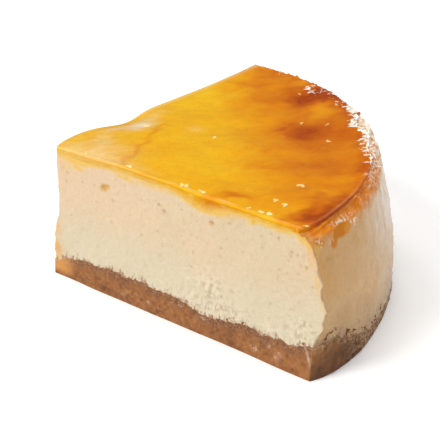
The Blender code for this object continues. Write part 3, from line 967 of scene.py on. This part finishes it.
# The base. Soft spots on its front cut, in millimetres: paler flecks, and darker pressed patches, partly
# painted shade along the base's top and foot
BASE_FLECKS = (
    (60.2, 2.2, 0.6, 0.7, 0, 0.9), (66.0, 2.1, 0.8, 0.7, 0, 0.9), (64.0, 4.0, 0.5, 0.4, 0, 0.7),
    (46.0, 4.2, 0.9, 0.4, 0, 0.7), (22.5, 1.8, 0.6, 0.4, 0, 0.5), (30.0, 2.4, 0.4, 0.4, 0, 0.6),
    (67.0, 3.2, 0.6, 0.5, 0, 0.6), (39.5, 5.0, 0.5, 0.4, 0, 0.6),
)
BASE_DARK = (
    (18.0, 1.0, 4.0, 1.2, 0, 0.5), (52.0, 0.6, 4.0, 0.8, 0, 0.4), (9.0, 4.2, 1.0, 1.0, 0, 0.4),
    (48.0, 4.2, 4.0, 0.6, 0, 0.35), (30.0, 4.5, 2.0, 0.8, 0, 0.25), (57.0, 6.0, 11.0, 1.2, 3, 0.45),
    (33.0, 1.2, 5.0, 1.2, 0, 0.3),
)


def base_colours(base, points, holes, middling):
    """Values for the base's material, at its cuts and where it was baked."""
    z, along, on_wall = base.z, base.along, base.on_wall
    below_cheese = -base.above_base
    edge_orange = hump(base.degrees + math.degrees(HALF_ANGLE), 3.2) * on_wall * ease((z - 0.0005) / 0.004)
    tip_orange = hump(along - 0.002, 0.0035) * ease(z / 0.002)
    # Painted shade in the holes and in a band under the cheese
    shade_under_cheese = hump(below_cheese - 0.0005, 0.0015) * (1.0 - on_wall)
    gaps_and_shade = 0.8 * holes + 0.2 * np.maximum(0.0, -middling - 0.4) + 0.85 * shade_under_cheese * (0.75 + 0.6 * middling)
    sliver_at = 0.0746 - 52.0 * np.maximum(z - 0.002, 0.0) ** 2
    sliver = 0.65 * hump(along - sliver_at, 0.00032) * ease((z - 0.0016) / 0.0034)
    past_corner = ease((base.degrees + 40.0) / 10.0)
    baked = on_wall * (1.0 - 0.55 * edge_orange) * (0.86 + 0.22 * field(points, 0.0024, seed=36.0))
    dust = (0.6 + 0.4 * past_corner) * hump(below_cheese, 0.0013) + 0.80 * past_corner
    return {
        "gaps_and_shade": np.clip(gaps_and_shade + 0.6 * base.spots(BASE_DARK) * base.on_front, 0.0, 0.8),
        "orange": unit(0.8 * tip_orange + 0.25 * edge_orange),
        "baked": np.clip(baked, 0.0, 0.95),
        "fleck": unit((0.4 * base.spots(BASE_FLECKS) + sliver) * base.on_front),
        "head": unit(below_cheese / 0.0045 + 0.03),
        "dust": unit(dust) * on_wall,
    }


def make_base(material):
    base = Layer(base_points, BASE_HEIGHT, (), HIDDEN_INSETS)
    middling = field(base.points, 0.0014, seed=32.0)
    holes = np.maximum(0.0, field(base.points, 0.0012, seed=35.0) - 0.55)
    relief = bumps(base.points, (0.16, 3.0, 31.0), (0.10, 0.6, 33.0)) + 0.00013 * middling
    relief = relief - HOLE_DEPTH * holes
    relief = relief * (1.0 + 0.5 * base.on_wall) * ease(base.z / 0.0007) * ease(base.along / 0.004)
    level = base.normals * (1.0, 1.0, 0.0)
    points = base.points + level * (relief * base.on_side)[:, None]
    attributes = base_colours(base, points, holes, middling)
    piece = make_mesh("crumb_base", points, base.faces, attributes, material)
    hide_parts("biscuit_base")


# The glaze, with its tables in millimetres. Browned and pale places under it, in plan from the axis
TOASTED = (
    (60.0, 23.5, 5.8, 4.6, 0, 0.38), (66.0, 26.0, 3.6, 5.0, 20, 0.32), (56.0, 3.5, 4.0, 6.2, 0, 0.27),
    (61.0, 1.5, 5.5, 7.0, 0, 0.16), (49.5, 25.0, 2.4, 7.0, 0, 0.1), (48.5, 35.5, 5.2, 2.4, -10, 0.14),
    (53.5, 42.0, 4.6, 4.0, 40, 0.1), (43.0, 21.5, 2.4, 3.6, 0, 0.1), (46.0, -18.0, 4.8, 2.6, 0, 0.12),
    (52.5, -16.5, 3.0, 3.0, 0, 0.08), (58.0, -17.5, 4.0, 2.2, 0, 0.08),
    (37.8, -32.8, 4.0, 2.1, -15, 0.42), (54.0, -45.0, 5.0, 3.8, 40, 0.46),
    (60.0, -39.5, 5.6, 3.0, 45, 0.32), (65.0, -32.5, 4.6, 2.2, 60, 0.22),
    (67.5, -23.0, 6.0, 1.8, 82, 0.15), (53.0, -31.5, 5.2, 1.5, 10, 0.05),
    (55.5, -34.0, 1.0, 1.2, 0, 0.14), (47.0, -7.8, 1.5, 1.2, 0, 0.14), (37.5, -6.5, 2.8, 0.8, -45, 0.08),
    (68.0, 15.0, 1.8, 8.0, 0, 0.2), (69.0, -6.0, 1.6, 10.0, 0, 0.08), (62.5, 14.5, 3.0, 4.2, 0, -0.26),
    (36.5, 31.5, 5.2, 3.0, 45, -0.16), (60.0, -26.2, 5.6, 1.8, 0, -0.14),
    (50.0, -40.0, 3.0, 3.0, 0, -0.1), (33.0, 22.0, 6.0, 6.0, 0, -0.08), (60.0, 34.0, 2.4, 2.0, 0, -0.15),
    (45.0, -44.5, 6.0, 1.2, -45, -0.18), (57.0, -32.0, 3.2, 2.2, 0, -0.1),
    (64.0, -14.5, 3.0, 6.0, 0, -0.05), (46.5, -42.5, 2.6, 2.6, 0, -0.08),
    (32.5, -26.5, 8.0, 5.0, 0, 0.08), (47.5, 32.0, 5.0, 5.0, 0, 0.04), (53.0, -40.0, 2.4, 3.0, 0, -0.14),
    (47.0, -44.5, 5.0, 1.4, -45, -0.12), (56.0, -33.0, 3.0, 2.6, 0, -0.05),
)
# Painted reflection near the tip: pale patches where the glaze would mirror light
PAINTED_REFLECTION_SPOTS = (
    (11.0, -5.0, 8.0, 5.6, -45, 0.62), (10.0, -8.0, 9.0, 1.6, -45, 0.35),
    (18.0, -15.0, 7.0, 1.6, -45, 0.25), (12.5, 3.0, 2.0, 4.0, 0, 0.4), (33.0, 6.5, 2.0, 1.8, 0, 0.25),
    (22.0, 15.0, 2.2, 6.0, -35, 0.5),
)
BARE = ((20.5, 10.5, 3.2, 2.4, 45, 1.1), (15.0, 9.5, 3.0, 1.2, 35, 0.6))
BLISTERED = ((62.5, 28.5, 3.0, 3.6, 20, 1.0),)
# Painted glints on the glaze at the far rim
GLAZE_GLINT_SPOTS = ((62.2, 28.5, 1.7, 2.6, 20, 0.85),)
# Clusters of bubbles in the glaze: x, y, half sizes and turn
BEADS = (
    (37.0, 0.5, 0.6, 0.9, 0), (57.5, 8.3, 0.4, 0.8, -20), (63.0, 6.0, 0.4, 0.7, 0),
    (66.7, 17.5, 0.4, 0.9, 0), (53.1, -28.5, 0.6, 1.0, -25), (48.7, -38.3, 0.7, 0.9, -20),
    (46.9, -36.0, 0.8, 0.6, 10), (28.9, -27.0, 0.9, 0.7, -45), (44.0, -41.8, 1.5, 0.5, -42),
    (41.2, -39.2, 0.6, 0.4, -40), (18.0, -16.0, 1.1, 0.4, -45), (61.8, -3.8, 0.4, 0.7, 0),
    (59.0, 27.0, 0.4, 0.6, 0), (22.2, 9.8, 0.7, 1.0, 0), (32.5, -30.5, 1.2, 0.3, -44),
    (51.5, -48.8, 0.8, 0.4, -44), (65.5, 22.5, 0.3, 0.6, 10), (8.5, -7.0, 1.0, 0.3, -45),
)
BEAD_BUBBLES = 6
GLAZE_OUT_STEP = 0.00042
GLAZE_ACROSS_STEP = 0.00052
GLAZE_SIDE_UPS = (0.94, 0.88, 0.8, 0.7, 0.58, 0.44, 0.3, 0.15, 0.0)


def crease_line(place, reach):
    """One near the crease across the tip and falling off within the given reach of it."""
    run = CREASE_END - CREASE_START
    share = unit((place - CREASE_START) @ run / (run @ run))
    wobble = CREASE_WOBBLE * np.sin(share * CREASE_WOBBLE_TURNS)
    aside = np.array((-run[1], run[0])) / np.linalg.norm(run)
    nearest = CREASE_START + share[:, None] * run + wobble[:, None] * aside
    return hump(length(place - nearest), reach)


def toasting(place):
    """How brown the top is under the glaze, from 0 at the tip's yellow to 1 at a burnt place."""
    points = stacked(place[:, 0], place[:, 1], 0.0)
    shift = [bumps(points, (1.6, 6.0, axis), (0.8, 2.0, axis + 5.0)) for axis in (71.0, 81.0)]
    place = place + np.stack(shift, axis=-1)
    x, y = place.T
    toast = 0.20 + 0.42 * ease((x - 0.034) / 0.026) + 0.03 * ease((x - 0.050) / 0.010)
    # Along the crease the colour is simply darker
    return toast + 0.22 * crease_line(place, 0.0008) + spots(x, y, TOASTED)


def glaze_relief(top):
    """Heights over the glaze: its waves and edges, the crease, and blisters towards the rim."""
    place, angle = top[:, :2], angle_of(top)
    from_front = place @ FRONT_INWARD
    from_rim = rim_radius(angle) - length(place)
    relief = bumps(top, (0.08, 6.0, 42.0), (0.04, 2.2, 41.0)) - 0.00015 * crease_line(place, 0.0005)
    relief = relief * np.minimum(ease(from_front / 0.002), ease(place @ BACK_INWARD / 0.002))
    relief += 0.00004 * hump(from_rim - 0.0010, 0.0006)
    at_rim = ease((angle + math.radians(30.0)) / 0.3) * ease((0.0045 - from_rim) / 0.0035)
    relief += bumps(top, (0.45, 0.9, 44.0), least=0.0) * at_rim
    relief += bumps(top, (0.50, 1.0, 45.0), least=0.0) * spots(*place.T, BLISTERED)
    front_edge = hump(from_front - 0.0010, 0.0005) * ease(length(place) / 0.01)
    return relief + 0.00004 * front_edge * (0.7 + 0.3 * field(top, 0.004, seed=46.0))


def glaze_mesh():
    """The glaze's points and faces: a grid for the top, then rings for its sides and underside."""
    outs = refined_ends(round(RIM_RADIUS / GLAZE_OUT_STEP))
    acrosses = 2.0 * refined_ends(round(2.0 * HALF_ANGLE * RIM_RADIUS / GLAZE_ACROSS_STEP)) - 1.0
    out, across = (grid.ravel() for grid in np.meshgrid(outs, acrosses, indexing="ij"))
    top = glaze_points(out, across, np.ones(len(out)))
    top[:, 2] += glaze_relief(top)
    index = np.arange(len(top)).reshape(len(outs), len(acrosses))
    corners = (index[:-1, :-1], index[1:, :-1], index[1:, 1:], index[:-1, 1:])
    faces = np.stack([corner.ravel() for corner in corners], axis=-1).tolist()
    ring = np.concatenate((index[:, 0], index[-1, 1:], index[-2::-1, -1], index[0, -2:0:-1]))
    levels = [(up, 0.0) for up in GLAZE_SIDE_UPS] + [(0.0, inset) for inset in HIDDEN_INSETS]
    side = flat(rings(glaze_points, np.column_stack((out[ring], across[ring])), levels))
    below = [ring, *(len(top) + np.arange(len(side)).reshape(len(levels), len(ring)))]
    for upper, lower in zip(below, below[1:]):
        quads = (lower, np.roll(lower, -1), np.roll(upper, -1), upper)
        faces += np.stack(quads, axis=-1).tolist()
    faces.append(below[-1][::-1].tolist())
    return np.concatenate((top, side)), faces


def painted_glaze_highlights(place, below_top, from_rim):
    """Painted highlights where the wet edges would shine: streaks along the front cut, and lines at the
    back and the rim.
    """
    from_front, along = place @ FRONT_INWARD, length(place)
    degrees = np.degrees(angle_of(place))
    line = stacked(along, 0.0, 0.0)
    streaky = 0.55 + 0.45 * field(line, 0.0035, seed=47.0)
    painted_sheen = hump(from_front - 0.0002, 0.00030) * hump(below_top, 0.00035) * streaky
    painted_sheen = painted_sheen * (0.05 + 0.48 * np.exp(-along / 0.014))
    # Broken bright lines on the front side: painted highlights
    highlight_lines = np.maximum(0.0, field(line, 0.0022, seed=48.0)) * hump(below_top - 0.0008, 0.00020)
    painted_sheen += 0.30 * highlight_lines * (from_front < 0.001) * ease(along / 0.02)
    broken = unit(field(line, 0.0045, seed=49.0) + 0.35) * (below_top < 0.0003)
    painted_sheen += 0.50 * broken * hump(from_front - 0.0006, 0.00014) * ease(along / 0.010)
    painted_sheen += 0.14 * hump(from_rim - 0.0005, 0.00025) * hump(degrees + 32.0, 11.0)
    return painted_sheen + 0.22 * hump(place @ BACK_INWARD - 0.0008, 0.0008) * ease(along / 0.02)


def make_glaze(material):
    points, faces = glaze_mesh()
    place = points[:, :2]
    along, from_front = length(place), place @ FRONT_INWARD
    degrees = np.degrees(angle_of(place))
    below_top = glaze_top(place) - points[:, 2]
    from_rim = rim_radius(angle_of(place)) - along
    side_share = ease((below_top - 0.0001) / 0.0006)
    at_side = side_share * ease((from_rim - 0.0003) / 0.0012)
    toast = toasting(place) * (1.0 - 0.45 * at_side) + 0.04 * hump(from_front - 0.0003, 0.0010)
    toast += 0.25 * at_side * hump(along - 0.0490, 0.0040)
    tip_fade = 0.8 * (1.0 - ease((along - 0.008) / 0.022))
    # Painted glints along the far rim
    painted_glints = 0.95 * ease((0.0030 - from_rim) / 0.0020) * hump(degrees - 1.0, 15.0)
    dull = ease((0.0018 - from_rim) / 0.0009) * ease((-8.0 - degrees) / 10.0)
    attributes = {
        "toast": toast,
        "painted_reflection": unit(spots(*place.T, PAINTED_REFLECTION_SPOTS)),
        "bare": unit(spots(*place.T, BARE)),
        "fade": at_side * unit(np.maximum(below_top / glaze_thickness(place), tip_fade)),
        "painted_glints": unit(painted_glints + spots(*place.T, GLAZE_GLINT_SPOTS)),
        "dull": unit(side_share + dull + 0.8 * hump(from_front, 0.0011)),
        "painted_sheen": np.clip(painted_glaze_highlights(place, below_top, from_rim), 0.0, 0.9),
    }
    piece = make_mesh("amber_glaze", points, faces, attributes, material)
    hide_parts("fruit_glaze")


# The small pieces

def unit_ball(subdivisions):
    ball = bmesh.new()
    bmesh.ops.create_icosphere(ball, subdivisions=subdivisions, radius=1.0)
    points = np.array([vertex.co for vertex in ball.verts])
    faces = np.array([[vertex.index for vertex in face.verts] for face in ball.faces])
    ball.free()
    return points, faces


def make_beads(material):
    """Clusters of tiny bubbles that stand up from the glaze, coloured pale as a painted highlight."""
    ball_points, ball_faces = unit_ball(3)
    draw = np.random.default_rng(31)
    points, faces = [], []
    for *sizes, turn in BEADS:
        x, y, half_u, half_v = MILLIMETRE * np.array(sizes)
        c, s = math.cos(math.radians(turn)), math.sin(math.radians(turn))
        spread = draw.standard_normal((2, BEAD_BUBBLES))
        for u, v, size in zip(*spread, draw.uniform(0.25, 0.60, BEAD_BUBBLES)):
            u, v = 0.5 * half_u * u, 0.5 * half_v * v
            radius = size * math.sqrt(half_u * half_v)
            uneven = 1.0 + 0.2 * field(ball_points + 5.0 * len(faces), 1.2)
            local = ball_points * uneven[:, None] * radius
            plan = local[:, :2] + (x + u * c - v * s, y + u * s + v * c)
            points.append(np.column_stack((plan, glaze_top(plan) + 0.5 * local[:, 2])))
            faces.append(ball_faces + len(faces) * len(ball_points))
    points = np.concatenate(points)
    toast = toasting(points[:, :2])
    dull = np.full(len(points), 0.6)
    # The beads' painted highlight is strongest where the glaze is yellow
    attributes = {"toast": toast, "bead_highlight": np.clip(1.0 - 0.7 * toast, 0.3, 1.0), "dull": dull}
    faces = np.concatenate(faces).tolist()
    make_mesh("glaze_beads", points, faces, attributes, material)


def make_crumbs(name, seeds, material, values):
    """Little lumps, each a knobbly ball of its own at a (place, radius) seed, joined in one mesh."""
    ball_points, ball_faces = unit_ball(2)
    draw = np.random.default_rng(len(seeds))
    points, faces = [], []
    for number, (place, radius) in enumerate(seeds):
        local = ball_points + 7.0 * number
        knobbly = 1.0 + 0.30 * field(local, 1.1) + 0.12 * field(local, 0.5)
        squash = draw.uniform(0.65, 1.25, 3)
        points.append(place + ball_points * knobbly[:, None] * squash * radius)
        faces.append(ball_faces + number * len(ball_points))
    points = np.concatenate(points)
    attributes = {key: np.full(len(points), value) for key, value in values.items()}
    make_mesh(name, points, np.concatenate(faces).tolist(), attributes, material)


# A cut face's direction from the tip, its inward side and how its surface sways
FRONT_CUT = (FRONT_DIRECTION, FRONT_INWARD, front_cut_sway)
BACK_CUT = (BACK_DIRECTION, BACK_INWARD, back_cut_bite)


def on_cut_face(cut, along, z):
    """Places on a cut face, at distances from the tip and heights."""
    direction, inward, sway_of = cut
    sway = sway_of(along, z) * ease(along / STEADY_TIP)
    lean = FRONT_DIRECTION * tip_lean(along, z)[:, None]
    return np.column_stack((along[:, None] * direction + inward * sway[:, None] + lean, z))


def cut_seeds(draw, cut, count, spread_up, lift, size):
    """Places and radii for crumbs strewn along the seam of the base and the cheese."""
    direction, inward, _ = cut
    along = draw.uniform(SEAM_START, SEAM_END, count)
    z = base_top(along[:, None] * direction) + lift + spread_up * draw.standard_normal(count)
    z = np.clip(z, 0.0008, 0.030)
    radius = draw.uniform(*size, count)
    places = on_cut_face(cut, along, z)
    places[:, :2] += inward * (radius * draw.uniform(0.5, 1.0, count))[:, None]
    return list(zip(places, radius))


def wall_seeds(draw, count, size):
    """Places and radii for dark crumbs at the wall's foot."""
    angle = draw.uniform(-0.985, 0.985, count) * HALF_ANGLE
    ray = np.stack((np.cos(angle), np.sin(angle)), axis=-1)
    z = base_top(FOOT_RADIUS * ray) + 0.0006 * draw.standard_normal(count) + 0.0002
    z = np.clip(z, 0.0008, 0.012)
    radius = draw.uniform(*size, count)
    reach = wall_radius(angle, z) - radius * draw.uniform(0.4, 0.9, count)
    return list(zip(np.column_stack((ray * reach[:, None], z)), radius))


# Single dark crumbs on the wall, in millimetres: distance round it, height and radius
WALL_CRUMBS = (
    (-56.8, 10.2, 0.5), (-55.9, 10.6, 0.45), (-55.0, 10.5, 0.35), (-57.2, 9.5, 0.4), (-50.5, 7.7, 0.45),
    (-51.2, 8.2, 0.35), (-32.0, 4.7, 0.5), (-31.0, 4.1, 0.45), (-48.0, 7.0, 0.3), (-58.0, 8.8, 0.35),
    (-44.3, 6.0, 0.3),
)
SEAM_START = 0.005
SEAM_END = 0.0745
FRONT_SEAM_CRUMBS = 50
BACK_SEAM_CRUMBS = 60
PALE_CRUMBS = 16
DARK_CRUMBS = 150
FLECK_LUMPS = 6
WALL_LUMPS = 4
BROWN_SIZE = (0.00015, 0.00042)
PALE_SIZE = (0.00008, 0.00016)
DARK_SIZE = (0.00010, 0.00032)


def make_all_crumbs(biscuit):
    draw = np.random.default_rng(23)
    brown = cut_seeds(draw, FRONT_CUT, FRONT_SEAM_CRUMBS, 0.00030, 0.0, BROWN_SIZE)
    brown += cut_seeds(draw, BACK_CUT, BACK_SEAM_CRUMBS, 0.00030, 0.0, BROWN_SIZE)
    make_crumbs("brown_crumbs", brown, biscuit, {"head": 1.0})
    pale = cut_seeds(draw, FRONT_CUT, PALE_CRUMBS, 0.0012, -0.0014, PALE_SIZE)
    pale += cut_seeds(draw, BACK_CUT, PALE_CRUMBS, 0.0012, -0.0014, PALE_SIZE)
    for at, height, half_width, half_height, _, _ in MILLIMETRE * np.array(BASE_FLECKS):
        beside = at + 0.6 * half_width * draw.standard_normal(FLECK_LUMPS)
        heights = height + 0.6 * half_height * draw.standard_normal(FLECK_LUMPS)
        places = on_cut_face(FRONT_CUT, beside, heights)
        pale += list(zip(places, draw.uniform(0.00007, 0.00019, FLECK_LUMPS)))
    make_crumbs("pale_crumbs", pale, biscuit, {"head": 1.0, "fleck": 0.7})
    dark = wall_seeds(draw, DARK_CRUMBS, DARK_SIZE)
    for arc, height, radius in MILLIMETRE * np.array(WALL_CRUMBS):
        angle = (arc + 0.8 * radius * draw.standard_normal(WALL_LUMPS)) / WIDEST_RADIUS
        z = height + 0.8 * radius * draw.standard_normal(WALL_LUMPS)
        reach = wall_radius(angle, z) - 0.2 * radius
        places = np.column_stack((reach * np.cos(angle), reach * np.sin(angle), z))
        dark += list(zip(places, radius * draw.uniform(0.35, 0.75, WALL_LUMPS)))
    make_crumbs("dark_crumbs", dark, biscuit, {"head": 1.0, "baked": 0.5})


# The studio

CAMERA_PLACE = (AXIS_PLACE[0] + 0.0190, AXIS_PLACE[1] - 0.30125, 0.14776)
CAMERA_AZIMUTH = -3.64
CAMERA_ELEVATION = 24.21
CAMERA_LENS = 118.6
SENSOR_WIDTH = 36.0
NEAREST_SEEN = 0.01
WORLD_STRENGTH = 0.08
WHITE = (1.0, 1.0, 1.0, 1.0)
FLOOR_WHITE = (0.93, 0.93, 0.93, 1.0)
FLOOR_GLOW = 0.22
LIGHT_TARGET = Vector((0.0, 0.0, 0.015))
FLOOR_REACH = 2.5
# Softboxes: name, place, size and power
SOFTBOXES = (
    ("key", (-0.80, -0.45, 0.80), (0.50, 0.50), 10.8),
    ("overhead", (-0.05, 0.05, 1.1), (0.9, 0.9), 6.0),
    ("fill_right", (0.95, -0.55, 0.50), (0.6, 0.5), 3.3),
    ("back_right", (0.50, 0.85, 0.22), (0.36, 0.24), 3.0),
    ("back_left", (-0.45, 0.95, 0.42), (0.3, 0.2), 0.18),
    ("edge_left", (-0.36, 0.50, 0.80), (0.16, 0.16), 0.7),
)


def make_camera():
    data = bpy.data.cameras.new("camera")
    data.lens = CAMERA_LENS
    data.sensor_width = SENSOR_WIDTH
    data.clip_start = NEAREST_SEEN
    camera = bpy.data.objects.new("camera", data)
    camera.location = CAMERA_PLACE
    camera.rotation_euler = (math.radians(90.0 - CAMERA_ELEVATION), 0.0, math.radians(CAMERA_AZIMUTH))
    bpy.context.scene.collection.objects.link(camera)
    bpy.context.scene.camera = camera


def make_softbox(name, place, size, power):
    data = bpy.data.lights.new(name, "AREA")
    data.shape = "RECTANGLE"
    data.size, data.size_y = size
    data.energy = power
    light = bpy.data.objects.new(name, data)
    light.location = place
    aim = LIGHT_TARGET - Vector(place)
    light.rotation_euler = aim.to_track_quat("-Z", "Y").to_euler()
    bpy.context.scene.collection.objects.link(light)


def make_floor():
    data = bpy.data.meshes.new("floor")
    corners = [(FLOOR_REACH * x, FLOOR_REACH * y, 0) for x, y in ((-1, -1), (1, -1), (1, 1), (-1, 1))]
    data.from_pydata(corners, [], [(0, 1, 2, 3)])
    surface = Surface("floor_paper", {
        "Roughness": 0.9, "Specular IOR Level": 0.1, "Base Color": FLOOR_WHITE,
        "Emission Color": WHITE, "Emission Strength": FLOOR_GLOW,
    })
    data.materials.append(surface.material)
    floor = bpy.data.objects.new("floor", data)
    bpy.context.scene.collection.objects.link(floor)


def make_studio():
    world = bpy.data.worlds.new("studio")
    world.use_nodes = True
    background = world.node_tree.nodes["Background"]
    background.inputs["Color"].default_value = WHITE
    background.inputs["Strength"].default_value = WORLD_STRENGTH
    bpy.context.scene.world = world
    for light in SOFTBOXES:
        make_softbox(*light)
    make_floor()
    bpy.context.scene.view_settings.view_transform = "Standard"


make_camera()
biscuit, cheese, amber = biscuit_surface(), cheese_surface(), glaze_surface()
make_base(biscuit)
make_filling(cheese)
make_glaze(amber)
make_beads(amber)
make_all_crumbs(biscuit)
make_studio()
